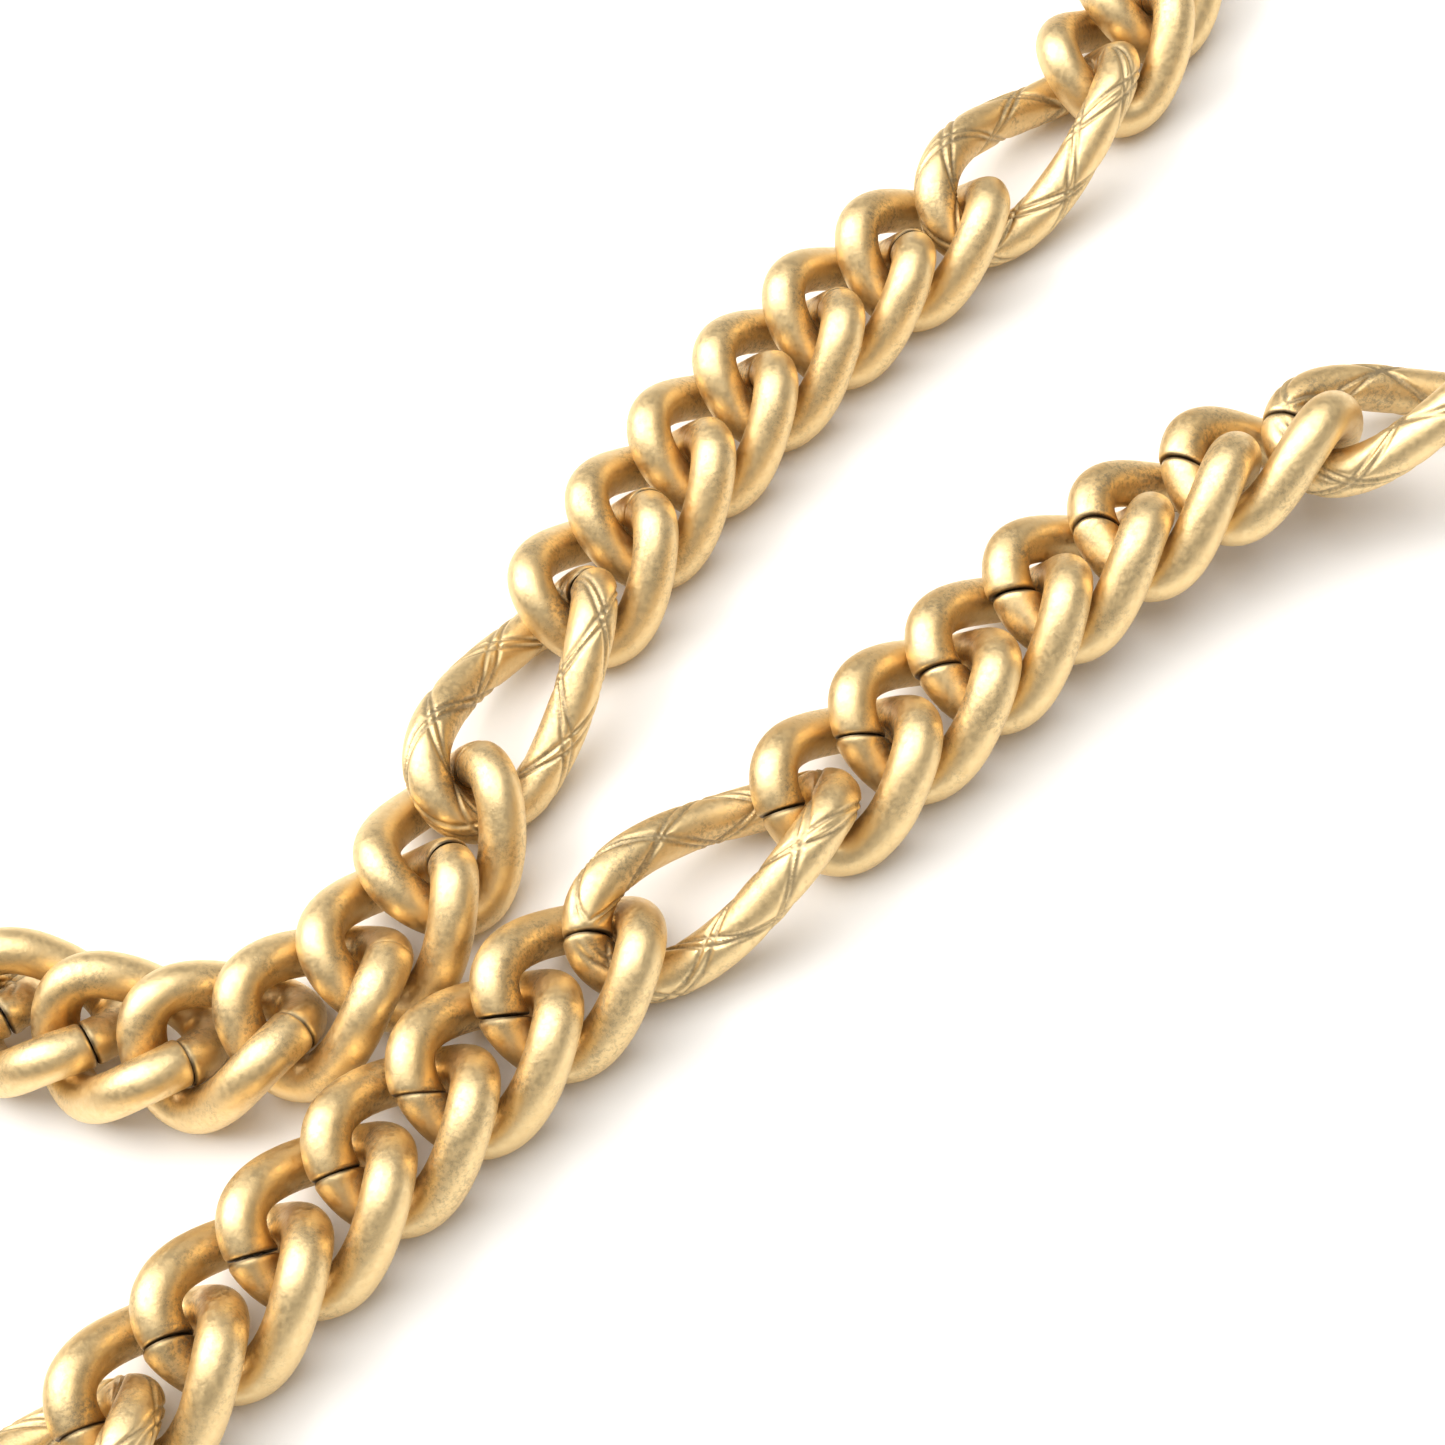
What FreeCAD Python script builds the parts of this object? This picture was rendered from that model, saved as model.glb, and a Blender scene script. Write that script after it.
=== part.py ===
import FreeCAD, Part
import os
from math import cos, pi, radians, sin, tan
from FreeCAD import Placement, Rotation, Vector

# Pocket watch chain: groups of six curb links, a long quilted link between groups, T-bar and swivel clip.
# Millimetres. Z is up and the floor is z = 0. The origin is on the floor under the middle of the whole chain.

wire_d = 3.0            # round wire of every link
bar_gap = 3.26          # between the middles of two end wires that hook into each other
butt_gap = 0.05         # slit where the two ends of a link's wire meet
butt_at = 0.9           # the slit, along the wire from the middle of an end wire
# Of each kind of link: middle to the middle of its end wire, middle to the middle of its side wire,
# lean of the ends out of the flat in degrees (one way left, the other way right).
link_shape = {
    "short": {"half": 4.95, "side": 3.8, "tilt": 48.0},
    "long": {"half": 8.8, "side": 3.75, "tilt": 47.0},
}

path_steps = 32         # points that the spline of a link's wire passes through

ring_d = 1.6            # wire of the two jump rings
ring_r = 3.4            # jump ring, to the middle of its wire
play = 0.12             # running clearance between fittings

t_bar = {"length": 34.0, "d": 3.0, "ball_d": 4.4, "eye_r": 2.6, "eye_d": 1.4}
post = {"r": 1.0, "head_r": 1.7, "head_h": 1.0, "eye_r": 2.3, "eye_d": 1.6, "neck": 3.2}
collar = {"r": 2.9, "length": 4.6}
hook = {"d": 2.6, "half_width": 5.0, "side": 6.0, "return": 1.6, "corner_r": 2.5}
block = {"width": 8.4, "height": 3.9, "inset": 1.2, "beyond": 0.9}     # between the collar and the hook's wire
fork = {"r": 1.7, "gap": 0.07}
lever = {"width": 2.2, "thick": 1.5, "reach": 5.6, "eye_r": 1.6}
knob = {"r": 1.0, "along": 3.0, "out": 0.7}
pin = {"r": 0.55, "length": 4.1, "room": 0.05}
spring = {"wire": 0.32, "r": 0.84, "groove": 1.1}
bore_room = 0.05        # around the post's stem and head, inside the collar
neck_behind_bar = 0.9   # the T-bar's middle lies this far behind its eye

# How the fittings hang from the last links, in degrees: drop and lean of the ring, lean of the fitting's eye.
hang = {
    "upper": {"drop": 8.3, "lean": -36.0, "eye_lean": 0.0, "eye_d": t_bar["eye_d"]},
    "lower": {"drop": 8.3, "lean": -90.0, "eye_lean": 90.0, "eye_d": post["eye_d"]},
}

flat_z = 3.62           # height of a flat link's middle, so that its lowest wire touches the floor
first_at = Vector(-91.8, -26.36, flat_z)     # middle of the first link

# The route of the chain, outward from the first link. Each run is (kind, links, turn, climb, twist):
# every link of the run turns left, climbs and rolls by that many degrees more than the one before it.
upper_route = [
    ("short", 1, -13.1, 0, 0), ("short", 3, -18.6, 0, 0), ("short", 1, -26.6, 0, 0),
    ("short", 1, -17.6, 0, 0), ("long", 1, -9.3, 0, 0), ("short", 1, -7.5, 0, 0), ("short", 1, 4.2, 0, 0),
    ("short", 3, 24.1, 0, 0), ("short", 1, 17.8, 0, 0), ("long", 1, -12.2, 0, 0), ("short", 6, -4.2, 0, 0),
    ("long", 1, 10.1, 0, 0), ("short", 4, 12, 0, 0),
]
lower_route = [
    ("short", 1, 12.9, 0, 0), ("short", 4, 22.6, 0, 0), ("short", 1, 4.8, 0, 0), ("long", 1, 5.9, 0, 0),
    ("short", 1, 2.8, 0, 0), ("short", 5, -1, 0, 0), ("long", 1, -8.8, 0, 0), ("short", 1, 9.9, 0, 0),
    ("short", 1, -3.2, 1, -2.3), ("short", 1, 2.9, 1.9, -7.7), ("short", 1, -8.2, -0.1, -7.9),
    ("short", 1, -4.1, 0, -9.1), ("short", 1, -11.2, -1.7, -4.7), ("long", 1, -6.9, -0.6, -8.8),
    ("short", 1, -3, 1.8, -9), ("short", 1, 1.1, -1.7, -9),
]
first_heading = -93.0   # of the first link, from +X towards +Y, seen from above


def link_path(kind):
    """The wire's middle line, a twisted oval that starts and ends at the butt joint."""
    shape = link_shape[kind]
    half, side = shape["half"], shape["side"]
    rise = side * tan(radians(shape["tilt"])) / 2
    per_radian = (side ** 2 + (2 * rise) ** 2) ** 0.5     # wire per radian of the oval, at its end wires
    start = -butt_at / per_radian
    sweep = 2 * pi - butt_gap / per_radian
    points = []
    for step in range(path_steps + 1):
        t = start + sweep * step / path_steps
        points.append(Vector(-half * cos(t), side * sin(t), rise * sin(2 * t)))
    line = Part.BSplineCurve()
    line.interpolate(points)
    return [line.toShape()]


def swept(edges, diameter):
    """Round wire along a smooth path."""
    path = Part.Wire(edges)
    start = edges[0].Vertexes[0].Point
    ahead = edges[0].tangentAt(edges[0].FirstParameter)
    profile = Part.Face(Part.Wire(Part.makeCircle(diameter / 2, start, ahead)))
    return path.makePipe(profile)


def chain_links():
    """Every link, the first one first: its kind, place, parent, branch and count from the first."""
    first = Placement(first_at, Rotation(Vector(0, 0, 1), first_heading))
    links = [{"kind": "long", "place": first, "parent": None, "branch": "root", "step": 0}]
    for branch, route, heading in (("upper", upper_route, first_heading + 180),
                                   ("lower", lower_route, first_heading)):
        parent, climb, twist, step = links[0], 0.0, 0.0, 0
        ahead = Rotation(Vector(0, 0, 1), heading)
        middle = first_at
        for kind, count, turn, rise, roll in route:
            for _ in range(count):
                # two links touch halfway between their end wires, and bend about that point
                touch = middle + ahead.multVec(Vector(link_shape[parent["kind"]]["half"] - bar_gap / 2, 0, 0))
                heading, climb, twist, step = heading + turn, climb + rise, twist + roll, step + 1
                ahead = Rotation(Vector(0, 0, 1), heading) * Rotation(Vector(0, 1, 0), -climb)
                middle = touch + ahead.multVec(Vector(link_shape[kind]["half"] - bar_gap / 2, 0, 0))
                place = Placement(middle, ahead * Rotation(Vector(1, 0, 0), twist))
                link = {"kind": kind, "place": place, "parent": parent, "branch": branch, "step": step}
                links.append(link)
                parent = link
    return links


def ring_solid(radius, diameter, normal):
    return Part.makeTorus(radius, diameter / 2, Vector(0, 0, 0), normal)


def bar_along(start, direction, length, radius):
    return Part.makeCylinder(radius, length, start, direction)


def make_t_bar():
    """Crossbar with ball ends and an eye; the eye's wire nearest the chain is centred on the origin."""
    eye = ring_solid(t_bar["eye_r"], t_bar["eye_d"], Vector(0, 0, 1))
    eye.translate(Vector(t_bar["eye_r"], 0, 0))
    mid_x = 2 * t_bar["eye_r"] + neck_behind_bar
    half = t_bar["length"] / 2
    bar = bar_along(Vector(mid_x, -half, 0), Vector(0, 1, 0), 2 * half, t_bar["d"] / 2)
    solid = bar.fuse(eye)
    for y in (-half, half):
        solid = solid.fuse(Part.makeSphere(t_bar["ball_d"] / 2, Vector(mid_x, y, 0)))
    return solid


def make_post():
    """Swivel post: an eye for the jump ring, a round stem and the head that the collar holds."""
    eye = ring_solid(post["eye_r"], post["eye_d"], Vector(0, 0, 1))
    eye.translate(Vector(post["eye_r"], 0, 0))
    stem_x = 2 * post["eye_r"]
    stem = bar_along(Vector(stem_x, 0, 0), Vector(1, 0, 0), post["neck"] + post["head_h"], post["r"])
    head = bar_along(Vector(stem_x + post["neck"], 0, 0), Vector(1, 0, 0), post["head_h"], post["head_r"])
    return eye.fuse(stem).fuse(head)


collar_x = 2 * post["eye_r"] + post["eye_d"] / 2 + 0.4      # front of the collar, from the post's eye wire
collar_end = collar_x + collar["length"]
hook_base_x = collar_end + block["beyond"]                  # middle of the hook's cross wire
pivot = Vector(hook_base_x + 1.6, -hook["half_width"] + 0.5, 0)


def make_hook():
    """Collar around the post's head, hook wire and the fork that carries the gate lever."""
    body = bar_along(Vector(collar_x, 0, 0), Vector(1, 0, 0), collar["length"], collar["r"])
    top = block["height"] / 2
    corner = Vector(collar_end - block["inset"], -hook["half_width"] - block["inset"], -top)
    block_length = hook_base_x + block["beyond"] - corner.x
    body = body.fuse(Part.makeBox(block_length, block["width"], block["height"], corner))
    w, r, x = hook["half_width"], hook["corner_r"], hook_base_x
    turn_x = x + r + hook["side"]
    diagonal = r * cos(radians(45))
    bend = Vector(x + r - diagonal, w - r + diagonal, 0)
    path = [
        Part.LineSegment(Vector(x, -w + hook["return"], 0), Vector(x, w - r, 0)).toShape(),
        Part.Arc(Vector(x, w - r, 0), bend, Vector(x + r, w, 0)).toShape(),
        Part.LineSegment(Vector(x + r, w, 0), Vector(turn_x, w, 0)).toShape(),
        Part.Arc(Vector(turn_x, w, 0), Vector(turn_x + w, 0, 0), Vector(turn_x, -w, 0)).toShape(),
        Part.LineSegment(Vector(turn_x, -w, 0), Vector(turn_x - hook["return"], -w, 0)).toShape(),
    ]
    body = body.fuse(swept(path, hook["d"]))
    body = body.fuse(Part.makeSphere(hook["d"] / 2, Vector(turn_x - hook["return"], -w, 0)))
    # fork cheeks above and below the lever's eye
    inside = lever["width"] / 2 + fork["gap"]
    thick = top - inside
    for low in (-top, inside):
        cheek = Part.makeCylinder(fork["r"], thick, Vector(pivot.x, pivot.y, low))
        root = Vector(hook_base_x, pivot.y - fork["r"], low)
        body = body.fuse(cheek.fuse(Part.makeBox(pivot.x - hook_base_x, 2 * fork["r"], thick, root)))
    # room for the lever's eye to turn between the cheeks
    body = body.cut(Part.makeCylinder(lever["eye_r"] + play, 2 * inside, Vector(pivot.x, pivot.y, -inside)))
    body = body.cut(bar_along(pivot - Vector(0, 0, 2 * top), Vector(0, 0, 1), 4 * top, pin["r"]))
    # bore for the post's stem and the chamber for its head
    head_x = 2 * post["eye_r"] + post["neck"]
    chamber_x = head_x - 2 * bore_room
    mouth = Vector(collar_x - 1, 0, 0)
    body = body.cut(bar_along(mouth, Vector(1, 0, 0), chamber_x + bore_room - mouth.x, post["r"] + bore_room))
    chamber_length = post["head_h"] + 4 * bore_room
    return body.cut(bar_along(Vector(chamber_x, 0, 0), Vector(1, 0, 0), chamber_length,
                              post["head_r"] + bore_room))


def make_lever():
    """Gate of the clip, closed: an eye on the pin, a flat arm inside the hook's tip, and a thumb knob."""
    w = lever["width"]
    eye = Part.makeCylinder(lever["eye_r"], w, Vector(pivot.x, pivot.y, -w / 2))
    tip_y = -hook["half_width"] + hook["d"] / 2 + lever["thick"] / 2 + 2 * play
    lean = tip_y - pivot.y
    arm = Part.makeBox(lever["reach"], lever["thick"], w, Vector(0, -lever["thick"] / 2, -w / 2))
    arm.Placement = Placement(Vector(pivot.x, pivot.y, 0),
                              Rotation(Vector(1, 0, 0), Vector(lever["reach"], lean, 0)))
    thumb = Part.makeSphere(knob["r"], Vector(pivot.x + knob["along"], pivot.y + lean / 2 - knob["out"], 0))
    solid = eye.fuse(arm).fuse(thumb)
    through = pivot - Vector(0, 0, w)
    solid = solid.cut(bar_along(through, Vector(0, 0, 1), 2 * w, pin["r"] + pin["room"]))
    groove = pivot - Vector(0, 0, spring["groove"] / 2)
    groove_r = spring["r"] + spring["wire"] / 2 + 2 * pin["room"]
    return solid.cut(bar_along(groove, Vector(0, 0, 1), spring["groove"], groove_r))


def make_pin():
    return bar_along(pivot - Vector(0, 0, pin["length"] / 2), Vector(0, 0, 1), pin["length"], pin["r"])


def make_spring():
    """One open turn of spring wire around the pin, inside the lever's eye."""
    r = spring["r"]
    ends = [Vector(r * cos(radians(t)), r * sin(radians(t)), 0) for t in (20, 180, 340)]
    return swept([Part.Arc(*ends).toShape()], spring["wire"]).translated(pivot)


def fittings(last_upper, last_lower):
    """Places of the jump rings, and of what hangs in them, at the two ends of the chain."""
    places = {}
    for side, link in (("upper", last_upper), ("lower", last_lower)):
        fall = hang[side]
        half = link_shape[link["kind"]]["half"]
        end = link["place"].multVec(Vector(half, 0, 0))
        forward = link["place"].Rotation.multVec(Vector(1, 0, 0))
        heading = Rotation(Vector(1, 0, 0), Vector(forward.x, forward.y, 0))
        ahead = heading * Rotation(Vector(0, 1, 0), fall["drop"])
        near = -(wire_d / 2 + ring_d / 2 + play)
        ring_mid = end + ahead.multVec(Vector(near + ring_r, 0, 0))
        places[side + "_ring"] = Placement(ring_mid, ahead * Rotation(Vector(1, 0, 0), fall["lean"]))
        eye_at = near + 2 * ring_r - ring_d / 2 - fall["eye_d"] / 2 - play
        places[side + "_fitting"] = Placement(end + ahead.multVec(Vector(eye_at, 0, 0)), ahead)
        places[side + "_eye"] = places[side + "_fitting"].multiply(
            Placement(Vector(0, 0, 0), Rotation(Vector(1, 0, 0), fall["eye_lean"])))
    return places


def placed(shape, place):
    moved = shape.Solids[0].copy()
    moved.Placement = place.multiply(moved.Placement)
    return moved


def all_nodes():
    """Every piece as (node name, solid in place, what it is)."""
    links = chain_links()
    wire = {kind: swept(link_path(kind), wire_d) for kind in link_shape}
    count = {"short": 0, "long": 0}
    nodes = []
    for link in links:
        count[link["kind"]] += 1
        stem = "curb_link" if link["kind"] == "short" else "quilted_link"
        link["node"] = "%s_%02d" % (stem, count[link["kind"]])
        # on the upper branch the wire is turned end for end, so its butt joint is at the far end
        turned = Rotation(Vector(0, 0, 1), 180 if link["branch"] == "upper" else 0)
        place = link["place"].multiply(Placement(Vector(0, 0, 0), turned))
        nodes.append((link["node"], placed(wire[link["kind"]], place), stem))
    last_upper = [k for k in links if k["branch"] == "upper"][-1]
    last_lower = [k for k in links if k["branch"] == "lower"][-1]
    at = fittings(last_upper, last_lower)
    ring = ring_solid(ring_r, ring_d, Vector(0, 1, 0))
    nodes.append(("t_bar_ring", placed(ring, at["upper_ring"]), "jump ring"))
    nodes.append(("t_bar", placed(make_t_bar(), at["upper_fitting"]), "T-bar"))
    nodes.append(("clip_ring", placed(ring, at["lower_ring"]), "jump ring"))
    nodes.append(("swivel_post", placed(make_post(), at["lower_eye"]), "swivel post"))
    for name, make in (("swivel_hook", make_hook), ("gate_lever", make_lever),
                       ("gate_pin", make_pin), ("gate_spring", make_spring)):
        nodes.append((name, placed(make(), at["lower_fitting"]), name.replace("_", " ")))
    return nodes, links, at


os.makedirs("parts", exist_ok=True)
for node, solid, what in all_nodes()[0]:
    solid.exportStep("parts/" + node + ".step")
    print(node, what)
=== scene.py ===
import bmesh
import bpy
import math
import random
import numpy as np
from mathutils import Matrix, Vector


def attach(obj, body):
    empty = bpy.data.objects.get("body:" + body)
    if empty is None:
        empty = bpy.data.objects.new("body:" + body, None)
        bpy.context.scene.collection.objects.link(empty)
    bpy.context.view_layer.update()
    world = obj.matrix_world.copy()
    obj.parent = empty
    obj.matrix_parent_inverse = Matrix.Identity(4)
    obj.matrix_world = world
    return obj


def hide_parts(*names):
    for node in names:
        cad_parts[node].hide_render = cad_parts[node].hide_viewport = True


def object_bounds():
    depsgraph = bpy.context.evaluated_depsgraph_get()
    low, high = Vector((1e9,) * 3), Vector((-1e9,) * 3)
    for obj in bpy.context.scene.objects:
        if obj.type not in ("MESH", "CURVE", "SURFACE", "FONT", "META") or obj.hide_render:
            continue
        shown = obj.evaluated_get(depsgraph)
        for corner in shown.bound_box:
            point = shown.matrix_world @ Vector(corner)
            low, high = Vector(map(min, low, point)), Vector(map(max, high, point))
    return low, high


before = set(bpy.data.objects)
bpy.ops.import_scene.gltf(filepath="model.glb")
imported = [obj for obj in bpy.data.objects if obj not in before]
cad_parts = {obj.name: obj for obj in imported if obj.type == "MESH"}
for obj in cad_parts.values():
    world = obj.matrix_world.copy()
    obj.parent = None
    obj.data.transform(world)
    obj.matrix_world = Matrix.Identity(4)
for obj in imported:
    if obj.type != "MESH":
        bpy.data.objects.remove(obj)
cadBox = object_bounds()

mm = 0.001
print("frame loaded:", len(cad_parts), "pieces")


# how the chain lies: the same runs of links as the solid model

layout = {
    "barGap": 3.26 * mm,                                    # between the middles of two hooked end wires
    "firstLink": (-91.8 * mm, -26.36 * mm, 3.62 * mm),
    "firstHeading": -93.0,
    # every run: kind, links, and how much more each link turns left, climbs and rolls than the last, degrees
    "upper": [
        ("short", 1, -13.1, 0, 0), ("short", 3, -18.6, 0, 0), ("short", 1, -26.6, 0, 0),
        ("short", 1, -17.6, 0, 0), ("long", 1, -9.3, 0, 0), ("short", 1, -7.5, 0, 0), ("short", 1, 4.2, 0, 0),
        ("short", 3, 24.1, 0, 0), ("short", 1, 17.8, 0, 0), ("long", 1, -12.2, 0, 0),
        ("short", 6, -4.2, 0, 0), ("long", 1, 10.1, 0, 0), ("short", 4, 12, 0, 0),
    ],
    "lower": [
        ("short", 1, 12.9, 0, 0), ("short", 4, 22.6, 0, 0), ("short", 1, 4.8, 0, 0), ("long", 1, 5.9, 0, 0),
        ("short", 1, 2.8, 0, 0), ("short", 5, -1, 0, 0), ("long", 1, -8.8, 0, 0), ("short", 1, 9.9, 0, 0),
        ("short", 1, -3.2, 1, -2.3), ("short", 1, 2.9, 1.9, -7.7), ("short", 1, -8.2, -0.1, -7.9),
        ("short", 1, -4.1, 0, -9.1), ("short", 1, -11.2, -1.7, -4.7), ("long", 1, -6.9, -0.6, -8.8),
        ("short", 1, -3, 1.8, -9), ("short", 1, 1.1, -1.7, -9),
    ],
}

linkShape = {
    # middle to end wire, middle to side wire, lean of the ends out of the flat, how far the butt joint
    # sits from the middle of the end wire, mesh rings and sides
    "short": {"end": 4.95 * mm, "side": 3.8 * mm, "lean": 48.0, "butt": -1.1 * mm, "rings": 210, "sides": 44},
    "long": {"end": 8.8 * mm, "side": 3.75 * mm, "lean": 47.0, "butt": -1.1 * mm, "rings": 620, "sides": 84},
}


def turned(axis, degrees):
    return Matrix.Rotation(math.radians(degrees), 4, axis)


def layLinks():
    # every link with its kind, where it lies, and the node it stands for
    firstPlace = Matrix.Translation(layout["firstLink"]) @ turned("Z", layout["firstHeading"])
    links = [{"kind": "long", "place": firstPlace, "branch": "first"}]
    for branch, flip in (("upper", 180), ("lower", 0)):
        heading = layout["firstHeading"] + flip
        middle = Vector(layout["firstLink"])
        ahead = turned("Z", heading)
        kindBefore, climb, roll = "long", 0.0, 0.0
        for kind, count, turn, rise, twist in layout[branch]:
            for number in range(count):
                reach = linkShape[kindBefore]["end"] - layout["barGap"] / 2
                touch = middle + ahead @ Vector((reach, 0, 0))
                heading, climb, roll = heading + turn, climb + rise, roll + twist
                ahead = turned("Z", heading) @ turned("Y", -climb)
                reach = linkShape[kind]["end"] - layout["barGap"] / 2
                middle = touch + ahead @ Vector((reach, 0, 0))
                # on the upper branch the links lie end for end, with their butt joints at the far end
                place = Matrix.Translation(middle) @ ahead @ turned("X", roll) @ turned("Z", flip)
                links.append({"kind": kind, "place": place, "branch": branch})
                kindBefore = kind
    count = {"short": 0, "long": 0}
    for link in links:
        count[link["kind"]] += 1
        stem = "curb_link" if link["kind"] == "short" else "quilted_link"
        link["node"] = "%s_%02d" % (stem, count[link["kind"]])
    return links


chainLinks = layLinks()
print("laid out", len(chainLinks), "links")


class Shade:
    # one socket of a material, which plain arithmetic works on
    def __init__(self, tree, socket=None):
        self.tree = tree
        self.socket = socket

    def node(self, kind, settings=None, inputs=None, output=0):
        made = self.tree.nodes.new(kind)
        for name, value in (settings or {}).items():
            if name == "stops":
                ramp = made.color_ramp.elements
                for position, colour in value[2:]:
                    ramp.new(position)
                for element, (position, colour) in zip(ramp, value):
                    element.position = position
                    element.color = colour
            else:
                setattr(made, name, value)
        for key, value in (inputs or {}).items():
            if isinstance(value, Shade):
                self.tree.links.new(value.socket, made.inputs[key])
            else:
                made.inputs[key].default_value = value
        return Shade(self.tree, made.outputs[output])

    def maths(self, operation, *values):
        return self.node("ShaderNodeMath", {"operation": operation}, dict(enumerate(values)))

    def __add__(self, other):
        return self.maths("ADD", self, other)

    def __radd__(self, other):
        return self.maths("ADD", other, self)

    def __sub__(self, other):
        return self.maths("SUBTRACT", self, other)

    def __rsub__(self, other):
        return self.maths("SUBTRACT", other, self)

    def __mul__(self, other):
        return self.maths("MULTIPLY", self, other)

    def __rmul__(self, other):
        return self.maths("MULTIPLY", other, self)

    def eased(self, low, high, fromValue=0.0, toValue=1.0):
        ends = {"From Min": low, "From Max": high, "To Min": fromValue, "To Max": toValue}
        return self.node("ShaderNodeMapRange", {"interpolation_type": "SMOOTHSTEP"}, {"Value": self, **ends})

    def mixed(self, first, second):
        # this socket is the amount of the second colour
        return self.node("ShaderNodeMix", {"data_type": "RGBA"}, {0: self, 6: first, 7: second}, output=2)

    def feeds(self, shader, name):
        self.tree.links.new(self.socket, shader.inputs[name])


def newMaterial(name):
    material = bpy.data.materials.new(name)
    material.use_nodes = True
    tree = material.node_tree
    tree.nodes.clear()
    finish = tree.nodes.new("ShaderNodeOutputMaterial")
    shader = tree.nodes.new("ShaderNodeBsdfPrincipled")
    tree.links.new(shader.outputs[0], finish.inputs[0])
    return material, shader, Shade(tree)


antiqueGold = {
    "rubbed": (0.87, 0.665, 0.355, 1),       # bare brushed metal
    "paintedShadeGold": (0.66, 0.41, 0.14, 1),         # warmer tone inside the loops
    "patina": (0.33, 0.265, 0.17, 1),      # painted shade: darker, warmer gold inside the loops, also spread a little at random
    "soot": (0.12, 0.085, 0.05, 1),        # dark line where two wires rub
    "roughness": (0.36, 0.52),
    "grainSize": 0.13,                     # millimetres
    "grainDepth": 0.011 * mm,
    "filmAmount": 0.85,
}


def makeGold(name, look):
    material, shader, shade = newMaterial(name)
    where = shade.node("ShaderNodeTexCoord", output=3)
    # inside-facing mask: real patina in the film, and painted shade in the colour
    shadeAndPatina = shade.node("ShaderNodeAttribute", {"attribute_name": "shadeAndPatina"}, output=2)
    groove = shade.node("ShaderNodeAttribute", {"attribute_name": "groove"}, output=2)
    seam = shade.node("ShaderNodeAttribute", {"attribute_name": "seam"}, output=2)

    def noise(size, detail=3.0, roughness=0.55):
        # size is the width of a blotch in millimetres
        spread = {"Vector": where, "Scale": 1000.0 / size, "Detail": detail, "Roughness": roughness}
        return shade.node("ShaderNodeTexNoise", None, spread)

    blotch = noise(3.4, 4.0, 0.6).eased(0.38, 0.66)
    grain = noise(look["grainSize"] * 2.2, 4.0, 0.75).eased(0.43, 0.61)
    film = (blotch * 0.75 + 0.22) * (grain * 0.8 + 0.2) * (shadeAndPatina * 0.7 + 0.5) + groove * 0.55
    # painted shade: the colour turns darker and warmer where the wire faces the middle of the link, with some
    # random variation
    tone = (shadeAndPatina * 0.9 + noise(7.0, 2.0) * 0.35 - 0.15).mixed(look["rubbed"], look["paintedShadeGold"])
    worn = film.eased(0.02, 0.95, 0.0, look["filmAmount"]).mixed(tone, look["patina"])
    seam.eased(0.3, 1.0, 0.0, 0.9).mixed(worn, look["soot"]).feeds(shader, "Base Color")
    rough = noise(look["grainSize"] * 3.0).eased(0.3, 0.7, *look["roughness"])
    (rough + film * 0.12).feeds(shader, "Roughness")
    shader.inputs["Metallic"].default_value = 1.0
    grainHeight = noise(look["grainSize"], 3.0, 0.7) * look["grainDepth"]
    height = grainHeight + noise(1.1, 3.0) * (3 * look["grainDepth"])
    shade.node("ShaderNodeBump", None, {"Height": height, "Distance": 1.0}).feeds(shader, "Normal")
    return material


goldWire = makeGold("antiqueGoldWire", antiqueGold)
print("materials ready")


def closedLoop(shape, samples=2048):
    # evenly spaced points along the middle of the wire, a twisted oval, from the middle of its first end wire
    turn = np.linspace(0, 2 * np.pi, 4 * samples + 1)
    rise = shape["side"] * math.tan(math.radians(shape["lean"])) / 2
    x, y, z = -shape["end"] * np.cos(turn), shape["side"] * np.sin(turn), rise * np.sin(2 * turn)
    loop = np.stack([x, y, z], axis=1)
    steps = np.r_[0, np.cumsum(np.linalg.norm(np.diff(loop, axis=0), axis=1))]
    even = np.linspace(0, steps[-1], samples, endpoint=False)
    points = np.stack([np.interp(even, steps, loop[:, axis]) for axis in range(3)], axis=1)
    return points, steps[-1]


def wireFrames(kind):
    # rings along the wire from one cut face to the other: distance, middle, and two directions across it
    shape = linkShape[kind]
    points, length = closedLoop(shape)
    edge = np.array((0.0, 0.03, 0.07, 0.13, 0.21, 0.32)) * mm      # closer rings where the edge is rounded
    bodyStart = 0.46 * mm
    body = np.linspace(bodyStart, length - bodyStart, shape["rings"])
    along = np.r_[edge, body, length - edge[::-1]]
    around = (along - shape["butt"]) % length / length * len(points)
    ahead = np.roll(points, -1, axis=0) - np.roll(points, 1, axis=0)
    index = np.arange(len(points) + 1)

    def readAt(values):
        closed = np.vstack([values, values[:1]])
        return np.stack([np.interp(around, index, closed[:, axis]) for axis in range(3)], axis=1)

    middle, tangent = readAt(points), readAt(ahead)
    tangent /= np.linalg.norm(tangent, axis=1)[:, None]
    side = np.empty_like(middle)
    first = np.cross(tangent[0], (1.0, 0, 0))
    side[0] = first / np.linalg.norm(first)
    for ring in range(1, len(middle)):      # carried along without turning about the wire
        level = side[ring - 1] - tangent[ring] * (side[ring - 1] @ tangent[ring])
        side[ring] = level / np.linalg.norm(level)
    up = np.cross(tangent, side)
    # the side direction comes back turned about the wire by this much
    twist = math.atan2(side[-1] @ up[0], side[-1] @ side[0])
    return {"along": along, "length": length, "middle": middle, "tangent": tangent,
            "side": side, "up": up, "twist": twist}


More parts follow.
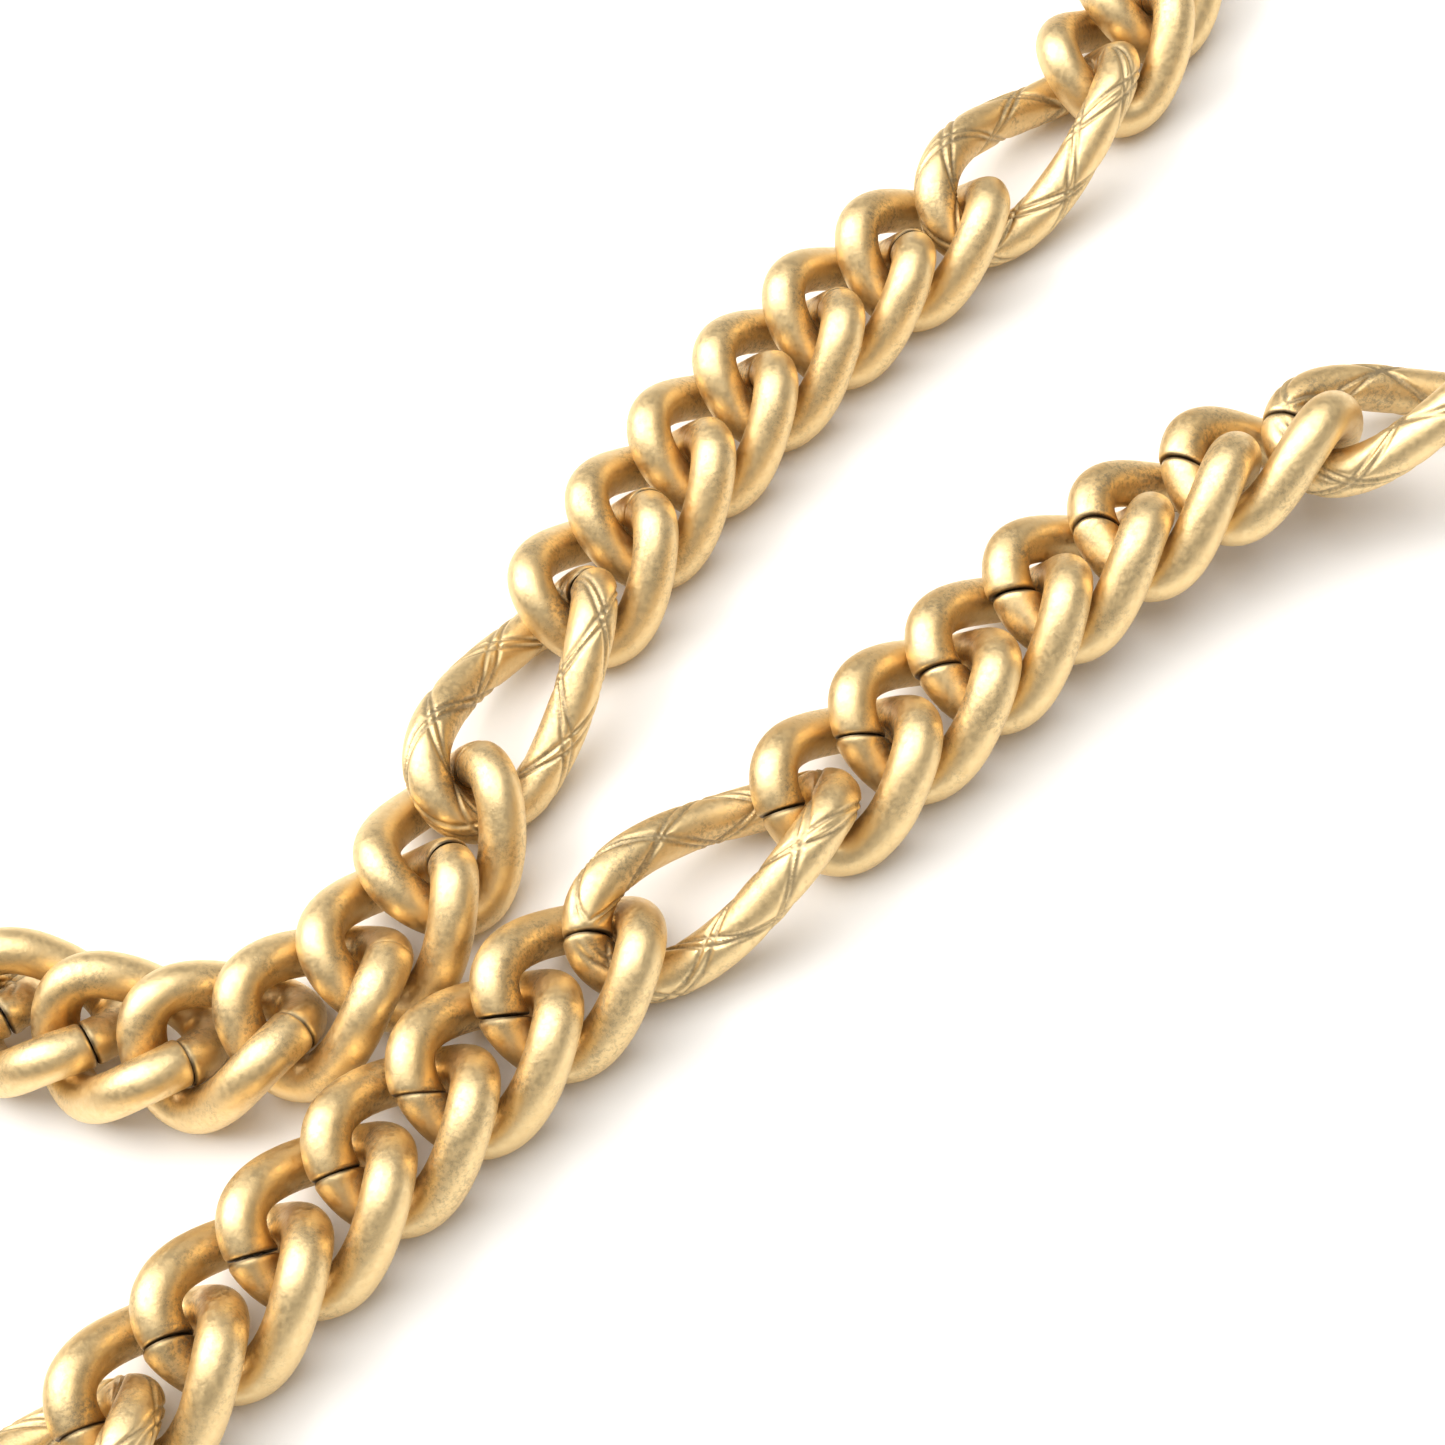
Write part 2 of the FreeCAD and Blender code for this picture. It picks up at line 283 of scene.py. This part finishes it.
wireD = 3.0 * mm
buttJoint = {
    "gap": (0.08 * mm, 0.24 * mm),       # from nearly shut to sprung open
    "slip": 0.20 * mm,                   # how far one end sits off the other
    "slant": 0.55,                       # the shears cut the wire aslant
    "edge": 0.34 * mm,                   # rounding of the cut edge
    "edgeDrop": 0.15 * mm,
    "reach": 1.6 * mm,                   # wire on each side that the slant and slip move
    "dome": 0.05 * mm,                   # height of the middle of a cut face
    "dark": 0.16 * mm,                   # soot on both sides of the slit
}
quilting = {
    "turn": 15.6 * mm,                   # along the wire for one turn of a line
    "lines": 2,                          # of each hand
    "ridge": 0.27 * mm,                  # middle of the ridge to the middle of each groove beside it
    "grooveWidth": 0.15 * mm,
    "grooveDepth": 0.13 * mm,
    "crest": 0.06 * mm,                  # the ridge stands proud of the wire
    "pillow": 0.08 * mm,                 # the diamonds between the lines swell
    "pillowEdge": 1.1 * mm,              # from a line to where the swell is full
    "wander": 0.22 * mm,                 # the lines are cut by hand
    "wanderSize": 11 * mm,
    "plainEnd": 1.2 * mm,                # the lines fade out before the butt joint
}
handWork = {"lump": 0.028 * mm, "lumpSize": 9 * mm, "flat": 0.10 * mm}      # unevenness of bent, tumbled wire


def unevenness(points, seed, size, count=9):
    # gentle lumps about as wide as size, between -1 and 1
    dice = np.random.default_rng(seed)
    waves = dice.normal(0, 2 * np.pi / size, (count, 3))
    phase = dice.uniform(0, 2 * np.pi, count)
    return np.sin(points @ waves.T + phase).sum(axis=-1) / math.sqrt(count) / 1.6


def quiltLines(along, angle, look):
    # distance over the surface to the nearest line of either hand
    pitchAngle = 2 * math.pi / look["lines"]
    climb = math.atan2(wireD * math.pi, look["turn"])
    nearest = []
    for hand in (1, -1):
        off = (hand * angle + 2 * math.pi * along / look["turn"]) % pitchAngle
        off = np.minimum(off, pitchAngle - off)
        nearest.append(off * wireD / 2 * math.cos(climb))
    return np.stack(nearest)


def linkMesh(link, seed):
    kind = link["kind"]
    shape, wire = linkShape[kind], frames[kind]
    dice = random.Random(seed)
    rings, sides = len(wire["along"]), shape["sides"]
    angle = np.linspace(0, 2 * math.pi, sides, endpoint=False)[None, :]
    along = wire["along"][:, None]
    acrossSide = np.cos(angle)[..., None] * wire["side"][:, None]
    outward = acrossSide + np.sin(angle)[..., None] * wire["up"][:, None]
    surface = wire["middle"][:, None] + outward * wireD / 2
    # how much each point faces the middle of the link, where the film stays darker and the colour is painted
    # darker as shade
    toMiddle = -wire["middle"] * (1.0, 1.0, 0.6)
    toMiddle /= np.linalg.norm(toMiddle, axis=1)[:, None]
    facingIn = (outward * toMiddle[:, None]).sum(axis=2)
    atEnd = np.clip((np.abs(wire["middle"][:, 0]) / shape["end"] - 0.55) / 0.4, 0, 1)[:, None]
    # painted shade mask, also used for the patina inside the loops
    shadeAndPatina = np.clip(facingIn * 0.9 + 0.25, 0, 1) * (0.35 + 0.65 * atEnd)

    radius = np.full((rings, sides), wireD / 2)
    radius += handWork["lump"] * unevenness(surface, seed, handWork["lumpSize"])
    flattened = np.clip(facingIn - 0.75, 0, 1) * 4 * (0.5 + 0.5 * dice.random())
    radius -= handWork["flat"] * (1 - atEnd) * flattened
    groove = np.zeros((rings, sides))
    if kind == "long":
        lines = quiltLines(along, angle + dice.uniform(-0.2, 0.2), quilting)
        drift = quilting["wander"] * unevenness(surface, seed + 500, quilting["wanderSize"])
        lines = np.abs(lines + drift)
        cut = np.exp(-((lines - quilting["ridge"]) / quilting["grooveWidth"]) ** 2)
        groove = cut.max(axis=0)
        swell = np.clip(lines.min(axis=0) / quilting["pillowEdge"], 0, 1)
        fade = np.clip(np.minimum(along, wire["length"] - along) / quilting["plainEnd"], 0, 1)
        groove = groove * fade
        crest = np.exp(-(lines.min(axis=0) / (0.6 * quilting["ridge"])) ** 2) * fade
        radius += quilting["pillow"] * (np.sqrt(swell) - 0.6) - quilting["grooveDepth"] * groove
        radius += quilting["crest"] * crest

    # the two ends of the wire: rounded edge, cut aslant, one slipped off the other
    fromStart, fromFinish = along, wire["length"] - along
    ended = np.minimum(fromStart, fromFinish)
    radius -= buttJoint["edgeDrop"] * np.clip(1 - ended / buttJoint["edge"], 0, 1) ** 2.2
    low, high = buttJoint["gap"]
    gap = low + (high - low) * dice.random() ** 2
    slant = buttJoint["slant"] * dice.uniform(0.6, 1.2)
    cutAngle = dice.uniform(-0.4, 0.4) + 2.4
    slipAngle = dice.uniform(0, 2 * math.pi)
    slip = buttJoint["slip"] * dice.uniform(0.3, 1.0)
    nearStart = np.exp(-(fromStart / buttJoint["reach"]) ** 2)
    nearFinish = np.exp(-(fromFinish / buttJoint["reach"]) ** 2)
    slope = np.cos(angle - cutAngle) * nearStart + np.cos(angle + wire["twist"] - cutAngle) * nearFinish
    tilt = wireD / 2 * slant * slope
    shift = tilt + gap / 2 * (nearStart - nearFinish)
    points = wire["middle"][:, None] + outward * radius[..., None]
    points += wire["tangent"][:, None] * shift[..., None]
    slipWay = math.cos(slipAngle) * wire["side"][0] + math.sin(slipAngle) * wire["up"][0]
    points += (slipWay * (slip / 2 * (nearStart - nearFinish)))[:, None]

    # the cut faces: a ring half way in and a middle point, slightly domed
    faces = []
    vertices = [points.reshape(-1, 3)]
    total = rings * sides
    for ring, sign in ((0, 1), (rings - 1, -1)):
        rim = points[ring]
        middle = rim.mean(axis=0)
        dome = wire["tangent"][ring] * sign * buttJoint["dome"]
        vertices += [middle + (rim - middle) * 0.55 + 0.6 * dome, middle[None] + dome]
        for k in range(sides):
            after = (k + 1) % sides
            outer = (ring * sides + k, ring * sides + after)
            quad = (outer[0], outer[1], total + after, total + k)
            fan = (total + k, total + after, total + sides)
            faces += [quad, fan] if sign == -1 else [quad[::-1], fan[::-1]]
        total += sides + 1
    ring, k = np.meshgrid(np.arange(rings - 1), np.arange(sides), indexing="ij")
    after = (k + 1) % sides
    here, onward = ring * sides, (ring + 1) * sides
    skin = np.stack([here + k, here + after, onward + after, onward + k])
    faces += skin.reshape(4, -1).T.tolist()

    world = np.array(link["place"])
    vertices = np.vstack(vertices) @ world[:3, :3].T + world[:3, 3]
    mesh = bpy.data.meshes.new(link["node"])
    mesh.from_pydata(vertices.tolist(), [], faces)
    mesh.shade_smooth()
    mesh.set_sharp_from_angle(angle=math.radians(48))
    extra = total - rings * sides
    seam = np.exp(-(ended / buttJoint["dark"]) ** 2) * np.ones((rings, sides))
    # what the finish reads, with its value on the cut faces
    for name, values, cutFace in (("shadeAndPatina", shadeAndPatina, 0.6), ("groove", groove, 0.3), ("seam", seam, 1.0)):
        full = np.r_[values.ravel(), np.full(extra, cutFace)]
        mesh.attributes.new(name, "FLOAT", "POINT").data.foreach_set("value", full.astype(np.float32))
    return mesh


def dress(name, mesh, material, body, slotName, *nodes):
    piece = bpy.data.objects.new(name, mesh)
    bpy.context.collection.objects.link(piece)
    mesh.materials.append(material)
    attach(piece, body)
    if nodes:
        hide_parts(*nodes)
    return piece


frames = {kind: wireFrames(kind) for kind in linkShape}
for number, link in enumerate(chainLinks):
    slotName = "antique_gold" if link["kind"] == "short" else "antique_gold_quilted"
    mesh = linkMesh(link, 100 + number)
    dress(link["node"] + "_wire", mesh, goldWire, link["node"], slotName, link["node"])
print("links made")


fittingLook = {
    "steel": (0.42, 0.41, 0.39, 1),
    "shadeOfSteel": (0.42 * 0.7, 0.41 * 0.7, 0.39 * 0.7, 1),
    "roughness": (0.22, 0.36),
}


def makeSteel(name, look):
    material, shader, shade = newMaterial(name)
    where = shade.node("ShaderNodeTexCoord", output=3)
    cloud = shade.node("ShaderNodeTexNoise", None, {"Vector": where, "Scale": 900.0, "Detail": 3.0})
    cloud.mixed(look["steel"], look["shadeOfSteel"]).feeds(shader, "Base Color")
    cloud.eased(0.3, 0.7, *look["roughness"]).feeds(shader, "Roughness")
    shader.inputs["Metallic"].default_value = 1.0
    return material


springSteel = makeSteel("springSteel", fittingLook)

# how the fittings hang from the last links: drop and lean in degrees
hanging = {
    "upper": {"drop": 8.3, "lean": -36.0, "eyeWire": 1.4 * mm},
    "lower": {"drop": 8.3, "lean": -90.0, "eyeWire": 1.6 * mm},
    "play": 0.12 * mm,
}
jumpRing = {"radius": 3.4 * mm, "wire": 1.6 * mm, "slit": 0.10 * mm, "rings": 150, "sides": 32}
tBar = {
    "eyeRadius": 2.6 * mm, "eyeWire": 1.4 * mm, "barBehind": 6.1 * mm, "ball": 2.2 * mm, "ballAt": 17.0 * mm,
    "ballFrom": math.pi - 0.62, "ballSteps": 18,       # angle where the ball leaves its neck, and its points
    # half of the turned bar: distance from its middle and radius
    "turning": ((0, 1.95), (1.2, 1.95), (1.5, 1.85), (1.65, 1.5), (2.1, 1.5), (2.4, 1.75), (2.75, 1.85),
                (3.1, 1.75), (3.4, 1.5), (6.0, 1.5), (10.0, 1.42), (13.6, 1.34), (13.9, 1.6), (14.2, 1.68),
                (14.5, 1.6), (14.8, 1.34)),
}
clipCollar = {
    # distance along the clip and radius: a beaded sleeve over the swivel
    "turning": ((5.86, 1.3), (5.84, 2.6), (5.92, 2.85), (6.1, 3.0), (6.5, 3.18), (6.9, 3.0), (7.05, 2.92),
                (7.2, 3.0), (7.5, 3.1), (7.8, 3.0), (7.95, 2.92), (8.1, 3.0), (8.4, 3.1), (8.7, 3.0),
                (8.85, 2.92), (9.0, 3.0), (9.1, 2.95), (9.12, 2.6)),
    "sides": 96,
}


def hangFittings():
    # where the jump rings and what hangs in them sit, at the far end of each strand
    places = {}
    for branch, facing in (("upper", -1), ("lower", 1)):
        link = [other for other in chainLinks if other["branch"] == branch][-1]
        end = link["place"] @ Vector((facing * linkShape[link["kind"]]["end"], 0, 0))
        forward = link["place"].to_3x3() @ Vector((facing, 0, 0))
        heading = math.degrees(math.atan2(forward.y, forward.x))
        ahead = turned("Z", heading) @ turned("Y", hanging[branch]["drop"])
        near = -(wireD / 2 + jumpRing["wire"] / 2 + hanging["play"])
        ringMiddle = end + ahead @ Vector((near + jumpRing["radius"], 0, 0))
        ringTurn = ahead @ turned("X", hanging[branch]["lean"])
        places[branch + "Ring"] = Matrix.Translation(ringMiddle) @ ringTurn
        eyeAt = near + 2 * jumpRing["radius"] - (jumpRing["wire"] + hanging[branch]["eyeWire"]) / 2
        eyeAt -= hanging["play"]
        places[branch + "Fitting"] = Matrix.Translation(end + ahead @ Vector((eyeAt, 0, 0))) @ ahead
    return places


def grid(rows, wrapRows):
    # quads between neighbouring rows of points, each row closed on itself
    count, sides = rows.shape[:2]
    last = count if wrapRows else count - 1
    row, k = np.meshgrid(np.arange(last), np.arange(sides), indexing="ij")
    nextRow, after = (row + 1) % count, (k + 1) % sides
    quads = np.stack([row * sides + k, row * sides + after, nextRow * sides + after, nextRow * sides + k])
    return rows.reshape(-1, 3), quads.reshape(4, -1).T.tolist()


def hoop(radius, wire, rings, sides):
    # a wire ring lying flat
    turn = np.linspace(0, 2 * np.pi, rings, endpoint=False)[:, None]
    around = np.linspace(0, 2 * np.pi, sides, endpoint=False)[None, :]
    reach = radius + wire / 2 * np.cos(around)
    height = wire / 2 * np.sin(around) + 0 * turn
    rows = np.stack([reach * np.cos(turn), reach * np.sin(turn), height], axis=2)
    return grid(rows, True)


def lathe(turning, sides):
    # a turned shape along its own X axis
    profile = np.array(turning)
    around = np.linspace(0, 2 * np.pi, sides, endpoint=False)[None, :]
    along, radius = profile[:, :1], profile[:, 1:]
    rows = np.stack([along + 0 * around, radius * np.cos(around), radius * np.sin(around)], axis=2)
    return grid(rows, False)


def joined(*parts):
    # several (points, faces) pairs as one mesh
    points, faces, total = [], [], 0
    for partPoints, partFaces in parts:
        points.append(partPoints)
        faces += [[corner + total for corner in face] for face in partFaces]
        total += len(partPoints)
    return np.vstack(points), faces


def solidMesh(name, place, points, faces):
    world = np.array(place)
    mesh = bpy.data.meshes.new(name)
    mesh.from_pydata((points @ world[:3, :3].T + world[:3, 3]).tolist(), [], faces)
    bm = bmesh.new()
    bm.from_mesh(mesh)
    bmesh.ops.remove_doubles(bm, verts=bm.verts, dist=1e-7)
    bmesh.ops.recalc_face_normals(bm, faces=bm.faces)
    bm.to_mesh(mesh)
    bm.free()
    mesh.shade_smooth()
    mesh.set_sharp_from_angle(angle=math.radians(50))
    return mesh


def makeRing():
    points, faces = hoop(jumpRing["radius"], jumpRing["wire"], jumpRing["rings"], jumpRing["sides"])
    # the ring stands on edge, and a shallow groove marks where its wire meets
    seam = np.exp(-(points[:, 1] / jumpRing["slit"]) ** 2) * (points[:, 0] > 0)
    middle = points * (1, 1, 0)
    middle *= jumpRing["radius"] / np.linalg.norm(middle, axis=1)[:, None]
    points = middle + (points - middle) * (1 - 0.09 * seam)[:, None]
    return points[:, (0, 2, 1)] * (1, 1, -1), faces


def makeTBar():
    half = [(x * mm, radius * mm) for x, radius in tBar["turning"]]
    for step in range(1, tBar["ballSteps"] + 1):
        angle = tBar["ballFrom"] * (1 - step / tBar["ballSteps"])
        along = tBar["ballAt"] + tBar["ball"] * math.cos(angle)
        half.append((along, max(tBar["ball"] * math.sin(angle), 1e-6)))
    whole = [(-x, radius) for x, radius in half[:0:-1]] + half
    points, faces = lathe(whole, 64)
    bar = points[:, (1, 0, 2)] + np.array((tBar["barBehind"], 0, 0))
    eyePoints, eyeFaces = hoop(tBar["eyeRadius"], tBar["eyeWire"], 120, 28)
    return joined((bar, faces), (eyePoints + np.array((tBar["eyeRadius"], 0, 0)), eyeFaces))


fittingPlaces = hangFittings()
for node, branch in (("t_bar_ring", "upper"), ("clip_ring", "lower")):
    mesh = solidMesh(node + "_wire", fittingPlaces[branch + "Ring"], *makeRing())
    dress(node + "_wire", mesh, goldWire, node, "antique_gold", node)
mesh = solidMesh("t_bar_turned", fittingPlaces["upperFitting"], *makeTBar())
dress("t_bar_turned", mesh, goldWire, "t_bar", "antique_gold", "t_bar")
collar = lathe([(x * mm, radius * mm) for x, radius in clipCollar["turning"]], clipCollar["sides"])
mesh = solidMesh("clip_collar", fittingPlaces["lowerFitting"], *collar)
dress("clip_collar", mesh, goldWire, "swivel_hook", "antique_gold")

replacedNodes = {link["node"] for link in chainLinks} | {"t_bar_ring", "clip_ring", "t_bar"}
for name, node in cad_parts.items():
    if name in replacedNodes:
        continue
    node.data.materials.clear()
    node.data.materials.append(springSteel if name == "gate_spring" else goldWire)
print("fittings finished")


table = {"size": 4.0, "colour": (0.93, 0.925, 0.915, 1), "tone": (0.90, 0.893, 0.88, 1)}


def makeTable():
    half = table["size"] / 2
    corners = [(-half, -half, 0), (half, -half, 0), (half, half, 0), (-half, half, 0)]
    mesh = bpy.data.meshes.new("tableTop")
    mesh.from_pydata(corners, [], [(0, 1, 2, 3)])
    top = bpy.data.objects.new("tableTop", mesh)
    bpy.context.collection.objects.link(top)
    top.location.z = cadBox[0][2] - 0.05 * mm
    material, shader, shade = newMaterial("whiteBoard")
    where = shade.node("ShaderNodeTexCoord", output=3)
    cloud = shade.node("ShaderNodeTexNoise", None, {"Vector": where, "Scale": 6.0, "Detail": 2.0})
    cloud.mixed(table["colour"], table["tone"]).feeds(shader, "Base Color")
    shader.inputs["Roughness"].default_value = 0.75
    shader.inputs["Specular IOR Level"].default_value = 0.2
    mesh.materials.append(material)
    return top


makeTable()


studio = {
    # name: where it hangs, width, strength in watts, colour
    "softBox": {"at": (-0.55, 0.45, 0.75), "size": 0.85, "power": 10.0, "colour": (1.0, 0.985, 0.96)},
    "skyPanel": {"at": (0.05, 0.1, 1.1), "size": 1.2, "power": 12.5, "colour": (1.0, 0.99, 0.975)},
    "room": (0.36, 0.345, 0.325, 1),
}


def hangLight(name, look, target=(0, 0, 0)):
    lamp = bpy.data.lights.new(name, "AREA")
    lamp.shape = "SQUARE"
    lamp.size = look["size"]
    lamp.energy = look["power"]
    lamp.color = look["colour"]
    holder = bpy.data.objects.new(name, lamp)
    bpy.context.collection.objects.link(holder)
    holder.location = look["at"]
    holder.rotation_euler = (Vector(target) - holder.location).to_track_quat("-Z", "Y").to_euler()


hangLight("softBox", studio["softBox"])
hangLight("skyPanel", studio["skyPanel"])
world = bpy.data.worlds.new("studioRoom")
world.use_nodes = True
world.node_tree.nodes["Background"].inputs["Color"].default_value = studio["room"]
bpy.context.scene.world = world
bpy.context.scene.view_settings.view_transform = "Standard"
print("studio lit")


view = {
    "at": (-4.73 * mm, -99.57 * mm, 137.38 * mm),
    "azimuth": -2.87, "elevation": 58.46, "roll": -22.68,
    "lens": 62.3,
}


def makeCamera():
    camera = bpy.data.cameras.new("tripod")
    camera.lens = view["lens"]
    camera.sensor_width = 36.0
    camera.clip_start = 0.005
    holder = bpy.data.objects.new("tripod", camera)
    bpy.context.collection.objects.link(holder)
    turn = turned("Z", view["azimuth"]) @ turned("X", 90 - view["elevation"]) @ turned("Z", view["roll"])
    holder.matrix_world = Matrix.Translation(view["at"]) @ turn
    bpy.context.scene.camera = holder


makeCamera()
print("camera set")
